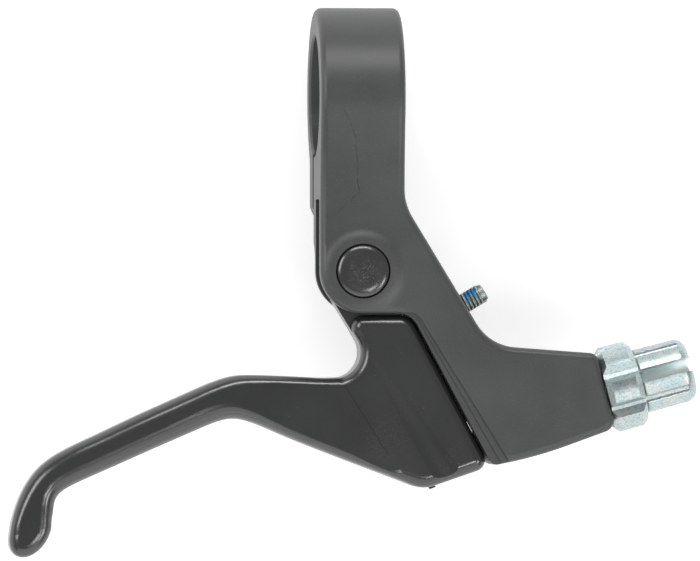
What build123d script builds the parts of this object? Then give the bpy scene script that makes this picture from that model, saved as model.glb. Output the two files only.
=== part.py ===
from build123d import *
import os
from math import acos, cos, degrees, radians, sin, sqrt, tan

# Bicycle brake lever for a flat bar, two fingers, linear pull.
# Origin at the centre of the handlebar bore, +X along the bar, +Y towards the rider, +Z up.
# All sizes are in millimetres and all angles in degrees.

# Handlebar clamp
BAR_DIAMETER = 22.2
CLAMP_WALL = 5.1
CLAMP_WIDTH = 15.6
BORE_CHAMFER = 0.4
SLIT_WIDTH = 2.0
SLIT_SETBACK = 2.3
SLIT_CORNER_ROUND = 0.8
LIP_THICKNESS = 7.2
LIP_CORNER_ROUND = 3.0
LIP_END_RADIUS = 8.2
LIP_STEP = 2.0
CLAMP_BOLT_DROP = 18.0

# Bracket casting
FACE_HEIGHT = 14.0
BODY_THICKNESS = 13.5
EDGE_ROUND = 1.25
NECK_SWEEP_RADIUS = 80.0
SHOULDER_DROP = 20.1
SHOULDER_ROUND = 10.0
FLANK_ANGLE = -58.8
BOSS_TOP_ANGLE = -4.3
BOSS_ROOT_ROUND = 9.0
BOSS_RISE = 7.3
BOSS_FALL = 6.9
BOSS_TOP_ROUND = 1.6
BOSS_LOW_ROUND = 2.2
BELLY_SETBACK = 15.8
BELLY_DEPTH = 1.4
BELLY_ROUND = 80.0
BORDER_OFFSET = 9.0
BORDER_ANGLE = -61.9
BORDER_ROUND = 4.0
BORDER_FOOT_ROUND = 1.4
LOWER_EDGE_ANGLE = 10.5

# Ledge beside the lever, in two shallow steps
LEDGE_START_X = 6.0
LEDGE_CORNER_X = 10.0
LEDGE_INSET = 0.2
LEDGE_ANGLE = -58.1
LEDGE_ROUND = 2.5
LEDGE_UPPER_DEPTH = 0.5
LEDGE_LOWER_DEPTH = 0.85
LEDGE_SPLIT = 0.55

# Fork and pivot
PIVOT_DROP = 32.4
FORK_GAP = 7.4
FORK_TOP_DROP = 19.2
FORK_MOUTH_DEPTH = 3.2
FORK_TOP_ROUND = 1.1
HUB_CLEARANCE = 0.7
PIVOT_BOSS_HEIGHT = 0.65
PIVOT_BOSS_RADIUS = 8.6
PIVOT_BOSS_RIM = 5.3
AXLE_HEAD_RADIUS = 4.8
AXLE_HEAD_CLEARANCE = 0.25
AXLE_HEAD_SINK = 1.1
AXLE_HEAD_SIDE = 1.45
AXLE_HEAD_DOME = 0.75
AXLE_HEAD_FLAT = 2.7
AXLE_RADIUS = 3.0
AXLE_FIT = 0.03
AXLE_THREAD_RADIUS = 2.0
AXLE_THREAD_DEPTH = 7.75
PIVOT_SCREW_HEAD_RADIUS = 3.9
PIVOT_SCREW_HEAD_HEIGHT = 1.6
PIVOT_SCREW_SINK = 1.2
PIVOT_SCREW_LENGTH = 6.5
PIVOT_SCREW_CLEARANCE = 0.3
PIVOT_SCREW_CHAMFER = 0.3
PIVOT_SCREW_KEY = 2.5
PIVOT_SCREW_KEY_DEPTH = 1.2
BUSH_WALL = 1.07
WASHER_THICKNESS = 0.6
WASHER_RADIUS = 4.7
WASHER_CLEARANCE = 0.1
RUNNING_CLEARANCE = 0.05

# Return spring
SPRING_RADIUS = 5.65
SPRING_WIRE = 0.9
SPRING_SIDES = 8
SPRING_STEPS = 16
SPRING_TURNS = 2.25
SPRING_PITCH = 1.0
SPRING_SETBACK = 0.6
SPRING_LEG = 1.75
SPRING_START_ANGLE = 90.0
SPRING_CLEARANCE = 0.1
SPRING_ROOM = 0.35

# Lever, with points and drops measured from the pivot
LEVER_THICKNESS = 11.4
HUB_RADIUS = 7.3
ROOT_LEAN = -58.5
ROOT_TOP_GAP = 0.3
ROOT_TOP_ROUND = 2.2
ROOT_SHOULDER_ROUND = 3.3
ROOT_FOOT_ROUND = 2.2
ROOT_EDGE_ROUND = 2.1
LEVER_GAP = 0.22
HOOK_DROP = 19.65
HOOK_ROUND = 4.7
HEEL_POINT = (11.4, -40.2)
HEEL_ANGLE = 19.0
HEEL_ROUND = 6.0
PALM_ANGLE = -20.9
CREASE_TOP_X = -4.0
CREASE_ANGLE = -57.0
VALLEY_TOP = (1.7, -15.6)
VALLEY_ANGLE = -57.5
VALLEY_LENGTH = 26.0
VALLEY_RADIUS = 9.0
VALLEY_DEPTH = 0.35
GATE_RADIUS = 0.65
GATE_HEIGHT = 0.45
GATE_SETBACK = 2.0

# Blade sections from the root to the tip, measured from the pivot: the edge towards the bar,
# the edge towards the fingers, the half height, the round of the bar edge, and the depth and
# height of the round on the finger edge
BLADE_SECTIONS = [
    ((-5.6, -19.62), (7.0, -38.5), 5.69, 2.1, 2.2, 2.15),
    ((-9.2, -19.54), (-0.3, -35.75), 5.6, 2.1, 2.4, 2.3),
    ((-14.7, -19.26), (-7.9, -32.85), 5.4, 2.2, 2.7, 2.6),
    ((-20.3, -19.1), (-15.1, -29.95), 5.15, 2.4, 3.0, 3.1),
    ((-24.6, -19.5), (-21.4, -27.5), 4.95, 2.6, 3.2, 3.5),
    ((-27.0, -20.25), (-23.9, -27.2), 4.9, 2.7, 3.2, 3.55),
    ((-32.2, -22.45), (-29.2, -28.8), 4.82, 2.8, 3.1, 3.6),
    ((-37.4, -24.75), (-34.3, -31.0), 4.78, 2.8, 3.0, 3.55),
    ((-42.5, -27.05), (-39.35, -33.2), 4.75, 2.8, 2.9, 3.5),
    ((-48.55, -29.93), (-45.62, -35.98), 4.7, 2.7, 2.8, 3.35),
    ((-54.6, -32.8), (-51.9, -38.75), 4.65, 2.65, 2.7, 3.2),
    ((-59.15, -35.9), (-55.3, -40.7), 4.55, 2.65, 2.7, 3.0),
    ((-62.25, -40.1), (-56.45, -42.6), 4.45, 2.5, 2.55, 2.7),
    ((-63.85, -44.05), (-56.7, -44.3), 4.38, 2.3, 2.4, 2.4),
]

# Oval end of the bulb, and the angle of the section where the blade runs into it
TIP_CENTRE = (-60.88, -47.82)
TIP_LONG = 5.18
TIP_SHORT = 3.42
TIP_TURN = 59.2
TIP_ANGLE = 12.0
TIP_HALF_HEIGHT = 4.3
TIP_ROUND = 2.2

# Cable run, barrel adjuster and lock ring
CABLE_ARM = 33.1
CABLE_ANGLE = 15.0
BOSS_REACH = 37.8
THREAD_RADIUS = 5.0
THREAD_CLEARANCE = 0.05
THREAD_DEPTH = 14.5
SHANK_LENGTH = 13.5
CABLE_SLOT = 2.2
CABLE_PASSAGE_RADIUS = 1.6
NIPPLE_RADIUS = 3.65
NIPPLE_SETBACK = 6.1
NIPPLE_ROOF = 2.2
SEAT_GAP = 0.1
RING_RADIUS = 8.0
RING_LENGTH = 6.6
RING_LOBES = 7
RING_GROOVE_WIDTH = 3.6
RING_GROOVE_FLOOR = 0.7
RING_GROOVE_DEPTH = 1.1
RING_CHAMFER = 1.0
RING_TURN = 16.8
BARREL_HEAD_LENGTH = 10.0
BARREL_INNER_RADIUS = 6.0
BARREL_OUTER_RADIUS = 5.85
BARREL_SLOT = 2.6
BARREL_END_ROUND = 2.2
BARREL_INNER_CHAMFER = 0.4
SOCKET_RADIUS = 3.1
SOCKET_DEPTH = 8.8
CABLE_HOLE_RADIUS = 1.4
FLUTE_COUNT = 8
FLUTE_RADIUS = 0.9
FLUTE_DEPTH = 0.65
FLUTE_END = 1.6
BARREL_TURN = 10.5

# Reach screw and clamp bolt
REACH_RADIUS = 2.0
REACH_CLEARANCE = 0.05
REACH_LENGTH = 11.6
REACH_PROUD = 4.36
REACH_ALONG = 21.6
REACH_KEY = 2.0
REACH_KEY_DEPTH = 2.2
REACH_CHAMFER = 0.4
BOLT_RADIUS = 2.5
BOLT_LENGTH = 12.0
BOLT_HEAD_RADIUS = 4.25
BOLT_HEAD_HEIGHT = 5.0
BOLT_HEAD_CLEARANCE = 0.35
BOLT_KEY = 4.0
BOLT_KEY_DEPTH = 2.5
BOLT_RECESS = 4.5
BOLT_HOLE_CLEARANCE = 0.2
BOLT_THREAD_CLEARANCE = 0.05
BOLT_TAP_MARGIN = 1.5
BOLT_CHAMFER = 0.5

# Larger than the whole part, for cutting tools that run past it
FAR = 200.0

# Handle length of a curve that stands in for a quarter ellipse
QUARTER_HANDLE = 0.5523

# Distance within which a point lies on a line, and cosine past which two directions agree
ON_LINE = 0.001
ALIGNED = 0.999

# Worked out from the driving sizes
BORE_RADIUS = BAR_DIAMETER / 2
RING_OUTER = BORE_RADIUS + CLAMP_WALL
HALF_WIDTH = CLAMP_WIDTH / 2
BACK_HEIGHT = FACE_HEIGHT - BODY_THICKNESS
MID_HEIGHT = FACE_HEIGHT - BODY_THICKNESS / 2
SLIT_FRONT = SLIT_WIDTH / 2 - SLIT_SETBACK
SLIT_BACK = SLIT_FRONT - SLIT_WIDTH
LIP_BACK = SLIT_BACK - LIP_THICKNESS
LIP_END = CLAMP_BOLT_DROP + LIP_END_RADIUS
EAR_BOTTOM = PIVOT_DROP + HALF_WIDTH
FORK_LOW = MID_HEIGHT - FORK_GAP / 2
FORK_HIGH = MID_HEIGHT + FORK_GAP / 2
TONGUE_THICKNESS = FORK_GAP - 2 * WASHER_THICKNESS - 4 * RUNNING_CLEARANCE
TONGUE_LOW = MID_HEIGHT - TONGUE_THICKNESS / 2
TONGUE_HIGH = MID_HEIGHT + TONGUE_THICKNESS / 2
LEVER_LOW = MID_HEIGHT - LEVER_THICKNESS / 2
LEVER_HIGH = MID_HEIGHT + LEVER_THICKNESS / 2
AXLE_SEAT = FACE_HEIGHT - AXLE_HEAD_SINK
SCREW_SEAT = BACK_HEIGHT + PIVOT_SCREW_SINK
AXLE_END = SCREW_SEAT + RUNNING_CLEARANCE
BUSH_RADIUS = AXLE_RADIUS + AXLE_FIT + BUSH_WALL
SPRING_BOTTOM = TONGUE_LOW + SPRING_SETBACK
SPRING_TOP = SPRING_BOTTOM + SPRING_TURNS * SPRING_PITCH
BOLT_SEAT = LIP_BACK + BOLT_RECESS
BOLT_TIP = BOLT_SEAT + BOLT_LENGTH
RING_END = SEAT_GAP + RING_LENGTH
HEAD_SEAT = RING_END + SEAT_GAP
HEAD_END = HEAD_SEAT + BARREL_HEAD_LENGTH


def heading(angle):
    """Unit vector in the XY plane, at an angle from +X."""
    return Vector(cos(radians(angle)), sin(radians(angle)))


def crossing(point_a, angle_a, point_b, angle_b):
    """Point where two lines of the XY plane cross, each given by a point and an angle."""
    along = heading(angle_a)
    across = heading(angle_b + 90)
    reach = (point_b - point_a).dot(across) / along.dot(across)
    return point_a + along * reach


def at_height(point, height):
    """Point of the XY plane lifted to a height."""
    return Vector(point.X, point.Y, height)


def upright(face, low, high):
    """Prism of a face of the XY plane, between two heights."""
    return extrude(Pos(0, 0, low) * face, high - low)


def pin(radius, low, high, centre):
    """Upright round bar between two heights."""
    return upright(Pos(centre.X, centre.Y) * Circle(radius), low, high)


def rod(radius, start, end):
    """Round bar between two points."""
    axis = end - start
    return extrude(Plane(origin=start, z_dir=axis) * Circle(radius), axis.length)


def key_socket(across_flats, depth, mouth, inward):
    """Hexagon socket to cut into a screw, from its mouth inward."""
    hexagon = RegularPolygon(across_flats / 2, 6, major_radius=False)
    return extrude(Plane(origin=mouth, z_dir=inward) * hexagon, depth)


# Points that several pieces share
UP = Vector(0, 0, 1)
PIVOT = Vector(0, -PIVOT_DROP)
BOLT_CENTRE = Vector(0, -CLAMP_BOLT_DROP)
CABLE = heading(CABLE_ANGLE)
CABLE_SIDE = heading(CABLE_ANGLE + 90)
BOSS_END = PIVOT + CABLE * BOSS_REACH - CABLE_SIDE * CABLE_ARM
CABLE_START = at_height(BOSS_END, MID_HEIGHT)
SHOULDER = Vector(HALF_WIDTH, -SHOULDER_DROP)
BORDER_TOP = Vector(BORDER_OFFSET, -EAR_BOTTOM)
BOSS_HIGH = BOSS_END + CABLE_SIDE * BOSS_RISE
BOSS_LOW = BOSS_END - CABLE_SIDE * BOSS_FALL
BELLY = BOSS_LOW - CABLE * BELLY_SETBACK - CABLE_SIDE * BELLY_DEPTH
BORDER_FOOT = crossing(BORDER_TOP, BORDER_ANGLE, BELLY, LOWER_EDGE_ANGLE)
BOSS_ROOT = crossing(SHOULDER, FLANK_ANGLE, BOSS_HIGH, BOSS_TOP_ANGLE)
FLANK_NORMAL = heading(FLANK_ANGLE + 90)
REACH_EXIT = at_height(SHOULDER + heading(FLANK_ANGLE) * REACH_ALONG, MID_HEIGHT)
REACH_OUTER = REACH_EXIT + FLANK_NORMAL * REACH_PROUD
REACH_TIP = REACH_OUTER - FLANK_NORMAL * REACH_LENGTH
LEVER_BORDER = BORDER_TOP - heading(BORDER_ANGLE + 90) * LEVER_GAP
CABLE_AT_BORDER = crossing(BOSS_END, CABLE_ANGLE, LEVER_BORDER, BORDER_ANGLE)
NIPPLE = CABLE_AT_BORDER - CABLE * NIPPLE_SETBACK
SPRING_FOOT = PIVOT + heading(SPRING_START_ANGLE) * SPRING_RADIUS
SPRING_HEAD = PIVOT + heading(SPRING_START_ANGLE + 360 * SPRING_TURNS) * SPRING_RADIUS

# Planes to draw on: the side view with Z to the right, the pivot's radius, the cable's cross section
SIDE = Plane(origin=(0, 0, 0), x_dir=(0, 0, 1), z_dir=(-1, 0, 0))
PIVOT_RADIUS = Plane(origin=PIVOT, x_dir=(1, 0, 0), z_dir=(0, -1, 0))
CABLE_SECTION = Plane(origin=CABLE_START, x_dir=CABLE_SIDE, z_dir=CABLE)


def round_room(corners, index):
    """Largest radius of a corner that leaves its walls room for the rounds next to it."""
    points = [point for point, radius in corners]
    radii = [radius for point, radius in corners]
    count = len(corners)

    def share_of_wall(place):
        """Length that a round of radius 1 takes from each wall of a corner."""
        before = (points[place] - points[place - 1]).normalized()
        after = (points[(place + 1) % count] - points[place]).normalized()
        return tan(acos(before.dot(after)) / 2)

    rooms = []
    for other in (index - 1, (index + 1) % count):
        wall = (points[index] - points[other]).length
        rooms.append(wall - radii[other] * share_of_wall(other) - ON_LINE)
    return min(rooms) / share_of_wall(index)


def corner_face(corners):
    """Closed face from corner points, each with its radius, the widest limited by its walls."""
    points = [point for point, radius in corners]
    radii = [radius for point, radius in corners]
    widest = radii.index(max(radii))
    radii[widest] = min(radii[widest], round_room(corners, widest))
    return make_face(FilletPolyline(*points, radius=radii, close=True))


def body_outline():
    """Outline of the bracket from the front, longer than the ring at the top."""
    above = RING_OUTER + CLAMP_WALL
    return corner_face([
        (Vector(-HALF_WIDTH, above), EDGE_ROUND),
        (Vector(-HALF_WIDTH, -EAR_BOTTOM), HALF_WIDTH),
        (BORDER_TOP, BORDER_ROUND),
        (BORDER_FOOT, BORDER_FOOT_ROUND),
        (BELLY, BELLY_ROUND),
        (BOSS_LOW, BOSS_LOW_ROUND),
        (BOSS_HIGH, BOSS_TOP_ROUND),
        (BOSS_ROOT, BOSS_ROOT_ROUND),
        (SHOULDER, SHOULDER_ROUND),
        (Vector(HALF_WIDTH, above), EDGE_ROUND),
    ])


def body_side():
    """Side view of the bracket: ring, lip block behind it and neck that sweeps down to the face."""
    slope = acos((FACE_HEIGHT + NECK_SWEEP_RADIUS) / (RING_OUTER + NECK_SWEEP_RADIUS))
    sweep_centre = Vector(cos(slope), -sin(slope)) * (RING_OUTER + NECK_SWEEP_RADIUS)
    sweep_end = Vector(FACE_HEIGHT, sweep_centre.Y)
    joint = Vector(LIP_BACK, -sqrt(RING_OUTER**2 - LIP_BACK**2))
    joint_angle = 180 + degrees(acos(-joint.X / RING_OUTER))
    lip_corner = Vector(LIP_BACK, -LIP_END - LIP_STEP)
    boss_corner = Vector(BACK_HEIGHT, -LIP_END - LIP_STEP)
    ring = CenterArc((0, 0), RING_OUTER, -degrees(slope), joint_angle + degrees(slope))
    neck = CenterArc(sweep_centre, NECK_SWEEP_RADIUS, 180 - degrees(slope), degrees(slope))
    back = Polyline(
        joint,
        lip_corner,
        boss_corner,
        Vector(BACK_HEIGHT, -FAR),
        Vector(FACE_HEIGHT, -FAR),
        sweep_end,
    )
    side = make_face(Curve() + [ring, back, neck])
    for corner in (joint, lip_corner, boss_corner):
        side = fillet(side.vertices().sort_by_distance(corner)[0], LIP_CORNER_ROUND)
    return side


def pivot_boss():
    """Raised ring on the face around the pivot, which runs out smoothly into the face."""
    middle = (PIVOT_BOSS_RIM + PIVOT_BOSS_RADIUS) / 2
    inner = Vector(0, FACE_HEIGHT + PIVOT_BOSS_HEIGHT)
    rim = Vector(PIVOT_BOSS_RIM, FACE_HEIGHT + PIVOT_BOSS_HEIGHT)
    foot = Vector(PIVOT_BOSS_RADIUS, FACE_HEIGHT)
    curve = Bezier(rim, Vector(middle, rim.Y), Vector(middle, foot.Y), foot)
    rest = Polyline(foot, Vector(PIVOT_BOSS_RADIUS, AXLE_SEAT), Vector(0, AXLE_SEAT), inner, rim)
    return revolve(PIVOT_RADIUS * make_face(Curve() + [curve, rest]), Axis(PIVOT, UP))


def bracket_blank():
    """Bracket casting with all its outer edges rounded, before any hole is made."""
    outline = body_outline()
    form = extrude(SIDE * body_side(), FAR, both=True) + pivot_boss()
    blank = extrude(outline, FAR, both=True) & form
    border = outline.wire()
    chain = []
    for edge in blank.edges():
        middle = edge @ 0.5
        seam = abs((edge % 0.5).Z) > ALIGNED and middle.Z > BACK_HEIGHT
        if not seam and border.distance_to(Vector(middle.X, middle.Y)) < ON_LINE:
            chain.append(edge)
    return fillet(chain, EDGE_ROUND)


def lip_trim():
    """Tool that rounds the free end of the lip about the clamp bolt."""
    keep = fillet(
        pin(LIP_END_RADIUS, LIP_BACK, SLIT_FRONT, BOLT_CENTRE).edges().sort_by(Axis.Z)[0],
        EDGE_ROUND,
    )
    below = Pos(0, -CLAMP_BOLT_DROP - FAR / 2) * Rectangle(FAR, FAR)
    return upright(below, LIP_BACK - EDGE_ROUND, (SLIT_FRONT + SLIT_BACK) / 2) - keep


def bar_bore():
    """Handlebar bore with its slit, and the chamfers at both ends of the bore."""
    slit = Pos(SLIT_FRONT - SLIT_WIDTH / 2, -FAR / 2) * Rectangle(SLIT_WIDTH, FAR)
    profile = Circle(BORE_RADIUS) + slit
    mouth = [vertex for vertex in profile.vertices() if vertex.Y > -RING_OUTER]
    profile = fillet(mouth, SLIT_CORNER_ROUND)
    cone = Cone(BORE_RADIUS, BORE_RADIUS + 2 * BORE_CHAMFER, 2 * BORE_CHAMFER)
    right = Pos(HALF_WIDTH, 0, 0) * Rot(0, 90, 0) * cone
    left = Pos(-HALF_WIDTH, 0, 0) * Rot(0, -90, 0) * cone
    return [extrude(SIDE * profile, FAR, both=True), right, left]


def ledge():
    """Two steps of the ledge that runs along the lever's side of the bracket."""
    corner = Vector(LEDGE_CORNER_X, LEDGE_INSET - EAR_BOTTOM)
    steps = []
    for share, depth in ((1, LEDGE_UPPER_DEPTH), (LEDGE_SPLIT, LEDGE_LOWER_DEPTH)):
        bend = BORDER_TOP + (corner - BORDER_TOP) * share
        angle = BORDER_ANGLE + (LEDGE_ANGLE - BORDER_ANGLE) * share
        end = bend + heading(angle) * FAR / 2
        strip = corner_face([
            (Vector(LEDGE_START_X, bend.Y), 0),
            (bend, LEDGE_ROUND),
            (end, 0),
            (Vector(LEDGE_START_X, end.Y), 0),
        ])
        steps.append(upright(strip, FACE_HEIGHT - depth, FACE_HEIGHT + depth))
    return steps


def fork_slot():
    """Slot for the lever's hub, open to the left and at the bottom of the ears."""
    room = HUB_RADIUS + HUB_CLEARANCE
    mouth = Vector(FORK_MOUTH_DEPTH - HALF_WIDTH, -FORK_TOP_DROP)
    away = mouth - PIVOT
    tangent = degrees(acos(away.X / away.length)) - degrees(acos(room / away.length))
    wall = PIVOT + Vector(room, 0)
    slot = corner_face([
        (Vector(-FAR, -FORK_TOP_DROP), 0),
        (mouth, FORK_TOP_ROUND),
        (crossing(mouth, tangent - 90, wall, 90), room),
        (Vector(room, -FAR), 0),
        (Vector(-FAR, -FAR), 0),
    ])
    return upright(slot, FORK_LOW, FORK_HIGH)


def cable_slot(start, end):
    """Slot for the cable along its run, open at the back."""
    run = end - start
    middle = (start + end) / 2
    strip = Pos(middle.X, middle.Y) * Rot(0, 0, CABLE_ANGLE) * Rectangle(run.length, CABLE_SLOT)
    return upright(strip, BACK_HEIGHT - FACE_HEIGHT, MID_HEIGHT + CABLE_SLOT / 2)


def make_lever_body():
    """Bracket with its clamp, fork, cable boss and screw holes."""
    head_room = AXLE_HEAD_RADIUS + AXLE_HEAD_CLEARANCE
    border_end = at_height(CABLE_AT_BORDER, MID_HEIGHT)
    hole_end = CABLE_START - CABLE * THREAD_DEPTH
    reach_out = FLANK_NORMAL * REACH_LENGTH
    body = bracket_blank() - lip_trim() - bar_bore() - ledge() - fork_slot()
    body -= [
        pin(head_room, AXLE_SEAT, FAR, PIVOT),
        pin(AXLE_RADIUS + AXLE_FIT, -FAR, FAR, PIVOT),
        pin(PIVOT_SCREW_HEAD_RADIUS + PIVOT_SCREW_CLEARANCE, -FAR, SCREW_SEAT, PIVOT),
        pin(SPRING_WIRE / 2 + SPRING_CLEARANCE, FORK_LOW - SPRING_LEG, FORK_HIGH, SPRING_FOOT),
        pin(BOLT_HEAD_RADIUS + BOLT_HEAD_CLEARANCE, -FAR, BOLT_SEAT, BOLT_CENTRE),
        pin(BOLT_RADIUS + BOLT_HOLE_CLEARANCE, LIP_BACK, SLIT_FRONT, BOLT_CENTRE),
        pin(BOLT_RADIUS + BOLT_THREAD_CLEARANCE, LIP_BACK, BOLT_TIP + BOLT_TAP_MARGIN, BOLT_CENTRE),
        rod(THREAD_RADIUS, hole_end, CABLE_START + CABLE * THREAD_DEPTH),
        rod(CABLE_PASSAGE_RADIUS, border_end - CABLE * NIPPLE_SETBACK, CABLE_START),
        cable_slot(NIPPLE, BOSS_END + CABLE * RING_LENGTH),
        rod(REACH_RADIUS + REACH_CLEARANCE, REACH_TIP - reach_out, REACH_OUTER + reach_out),
    ]
    return body


def blade_section(upper, lower, half_height, top_round, foot_depth, foot_height):
    """Upright section of the blade between its two edges, with rounded corners."""
    start = PIVOT + Vector(*upper)
    span = PIVOT + Vector(*lower) - start
    plane = Plane(origin=at_height(start, MID_HEIGHT), x_dir=span, z_dir=span.cross(UP))
    sides = []
    for side in (1, -1):
        high = side * half_height
        top = [Vector(0, high - side * top_round), Vector(0, high), Vector(top_round, high)]
        foot_x = span.length - foot_depth
        foot = [
            Vector(foot_x, high),
            Vector(span.length, high),
            Vector(span.length, high - side * foot_height),
        ]
        flank = Line(top[2], foot[0])
        sides.append((top, foot, [quarter(*top), flank, quarter(*foot)]))
    upper_line = Line(sides[1][0][0], sides[0][0][0])
    lower_line = Line(sides[0][1][2], sides[1][1][2])
    edges = [upper_line] + sides[0][2] + [lower_line] + list(reversed(sides[1][2]))
    return plane * make_face(Curve() + edges)


def quarter(start, corner, end):
    """Quarter of an ellipse from one side of a corner to the other."""
    leave = start + (corner - start) * QUARTER_HANDLE
    arrive = end + (corner - end) * QUARTER_HANDLE
    return Bezier(start, leave, arrive, end)


def lever_root():
    """Thick root of the lever, cut off at the crease where the blade starts."""
    lean_start = PIVOT + heading(ROOT_LEAN - 90) * HUB_RADIUS
    top = PIVOT - Vector(0, HALF_WIDTH + ROOT_TOP_GAP)
    hook = PIVOT - Vector(0, HOOK_DROP)
    heel = PIVOT + Vector(*HEEL_POINT)
    crease = hook + Vector(CREASE_TOP_X, 0)
    beyond = crease - Vector(HUB_RADIUS, 0)
    outline = corner_face([
        (crossing(lean_start, ROOT_LEAN, top, 0), ROOT_TOP_ROUND),
        (crossing(LEVER_BORDER, BORDER_ANGLE, top, 0), ROOT_SHOULDER_ROUND),
        (crossing(LEVER_BORDER, BORDER_ANGLE, heel, HEEL_ANGLE), ROOT_FOOT_ROUND),
        (heel, HEEL_ROUND),
        (crossing(heel, PALM_ANGLE, beyond, 90), ROOT_TOP_ROUND),
        (beyond, ROOT_TOP_ROUND),
        (crossing(lean_start, ROOT_LEAN, hook, 0), HOOK_ROUND),
    ])
    root = upright(outline, LEVER_LOW, LEVER_HIGH)
    rims = root.edges().group_by(Axis.Z)
    root = fillet(rims[0] + rims[-1], ROOT_EDGE_ROUND)
    half_plane = Pos(0, -FAR / 2) * Rectangle(FAR, FAR)
    blade_side = Pos(crease.X, crease.Y) * Rot(0, 0, CREASE_ANGLE) * half_plane
    return root - upright(blade_side, -FAR, FAR)


def lever_bulb():
    """Oval end of the bulb, beyond the section where the blade runs into it."""
    tip = PIVOT + Vector(*TIP_CENTRE)
    oval = Pos(tip.X, tip.Y) * Rot(0, 0, TIP_TURN) * Ellipse(TIP_LONG, TIP_SHORT)
    bulb = upright(oval, MID_HEIGHT - TIP_HALF_HEIGHT, MID_HEIGHT + TIP_HALF_HEIGHT)
    rims = bulb.edges().group_by(Axis.Z)
    bulb = fillet(rims[0] + rims[-1], TIP_ROUND)
    blade_side = Pos(tip.X, tip.Y) * Rot(0, 0, TIP_ANGLE) * Pos(0, FAR / 2) * Rectangle(FAR, FAR)
    return bulb - upright(blade_side, -FAR, FAR)


def flat_end(solid, outward):
    """Largest face of a solid that looks along a direction."""
    facing = [face for face in solid.faces() if face.normal_at().dot(outward) > ALIGNED]
    return max(facing, key=lambda face: face.area)


def lever_blade_blank(root):
    """Blade lofted from the crease of the root to the oval end of the bulb."""
    bulb = lever_bulb()
    sections = [flat_end(root, heading(CREASE_ANGLE - 90))]
    sections += [blade_section(*section) for section in BLADE_SECTIONS]
    sections.append(flat_end(bulb, heading(TIP_ANGLE + 90)))
    return loft(sections) + bulb


def valley_tool(side):
    """Tilted bar that sinks a shallow valley into one face of the root."""
    start = PIVOT + Vector(*VALLEY_TOP)
    end = start + heading(VALLEY_ANGLE) * VALLEY_LENGTH
    level = LEVER_THICKNESS / 2 + VALLEY_RADIUS
    shallow = at_height(start, MID_HEIGHT + side * level)
    deep = at_height(end, MID_HEIGHT + side * (level - VALLEY_DEPTH))
    return rod(VALLEY_RADIUS, shallow, deep + (deep - shallow))


def make_lever_blade():
    """Lever with its hub, root, blade and bulb."""
    root = lever_root()
    lean_start = PIVOT + heading(ROOT_LEAN - 90) * HUB_RADIUS
    inside = PIVOT - Vector(0, (HALF_WIDTH + HOOK_DROP) / 2)
    web = make_face(Polyline(
        PIVOT + Vector(HUB_RADIUS, 0),
        inside + Vector(HUB_RADIUS + HUB_CLEARANCE / 2, 0),
        crossing(lean_start, ROOT_LEAN, inside, 0),
        lean_start,
        close=True,
    ))
    tongue = upright(web + Pos(PIVOT.X, PIVOT.Y) * Circle(HUB_RADIUS), TONGUE_LOW, TONGUE_HIGH)
    gate = PIVOT + Vector(*HEEL_POINT) + heading(HEEL_ANGLE) * GATE_SETBACK
    gate_end = gate + heading(HEEL_ANGLE - 90) * GATE_HEIGHT
    gate_start = gate - heading(HEEL_ANGLE - 90) * GATE_SETBACK
    lever = root + lever_blade_blank(root) + tongue
    lever += rod(GATE_RADIUS, at_height(gate_start, MID_HEIGHT), at_height(gate_end, MID_HEIGHT))
    room = SPRING_WIRE / 2 + SPRING_ROOM
    floor = SPRING_TOP + SPRING_WIRE / 2 + SPRING_CLEARANCE
    coil = pin(SPRING_RADIUS + room, -FAR, floor, PIVOT) - pin(SPRING_RADIUS - room, -FAR, floor, PIVOT)
    lever -= [
        valley_tool(1),
        valley_tool(-1),
        pin(BUSH_RADIUS, -FAR, FAR, PIVOT),
        coil,
        pin(SPRING_WIRE / 2 + SPRING_CLEARANCE, MID_HEIGHT, SPRING_TOP + SPRING_LEG, SPRING_HEAD),
        pin(NIPPLE_RADIUS, -FAR, LEVER_HIGH - NIPPLE_ROOF, NIPPLE),
        cable_slot(NIPPLE, CABLE_AT_BORDER + CABLE * NIPPLE_RADIUS),
    ]
    return lever


def make_pivot_axle():
    """Axle with a low domed head, threaded inside from the back."""
    side_top = AXLE_SEAT + AXLE_HEAD_SIDE
    dome_top = side_top + AXLE_HEAD_DOME
    dome = Bezier(
        Vector(AXLE_HEAD_RADIUS, side_top),
        Vector(AXLE_HEAD_RADIUS, side_top + AXLE_HEAD_DOME * QUARTER_HANDLE),
        Vector((AXLE_HEAD_RADIUS + AXLE_HEAD_FLAT) / 2, dome_top),
        Vector(AXLE_HEAD_FLAT, dome_top),
    )
    rest = Polyline(
        Vector(AXLE_HEAD_FLAT, dome_top),
        Vector(0, dome_top),
        Vector(0, AXLE_END),
        Vector(AXLE_RADIUS, AXLE_END),
        Vector(AXLE_RADIUS, AXLE_SEAT),
        Vector(AXLE_HEAD_RADIUS, AXLE_SEAT),
        Vector(AXLE_HEAD_RADIUS, side_top),
    )
    axle = revolve(PIVOT_RADIUS * make_face(Curve() + [dome, rest]), Axis(PIVOT, UP))
    return axle - pin(AXLE_THREAD_RADIUS, -FAR, AXLE_END + AXLE_THREAD_DEPTH, PIVOT)


def make_pivot_screw():
    """Screw that closes the axle from the back."""
    bottom = SCREW_SEAT - PIVOT_SCREW_HEAD_HEIGHT
    head = pin(PIVOT_SCREW_HEAD_RADIUS, bottom, SCREW_SEAT, PIVOT)
    head = chamfer(head.edges().sort_by(Axis.Z)[0], PIVOT_SCREW_CHAMFER)
    shank = pin(
        AXLE_THREAD_RADIUS - RUNNING_CLEARANCE, bottom, SCREW_SEAT + PIVOT_SCREW_LENGTH, PIVOT
    )
    mouth = at_height(PIVOT, bottom)
    return head + shank - key_socket(PIVOT_SCREW_KEY, PIVOT_SCREW_KEY_DEPTH, mouth, UP)


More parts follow.
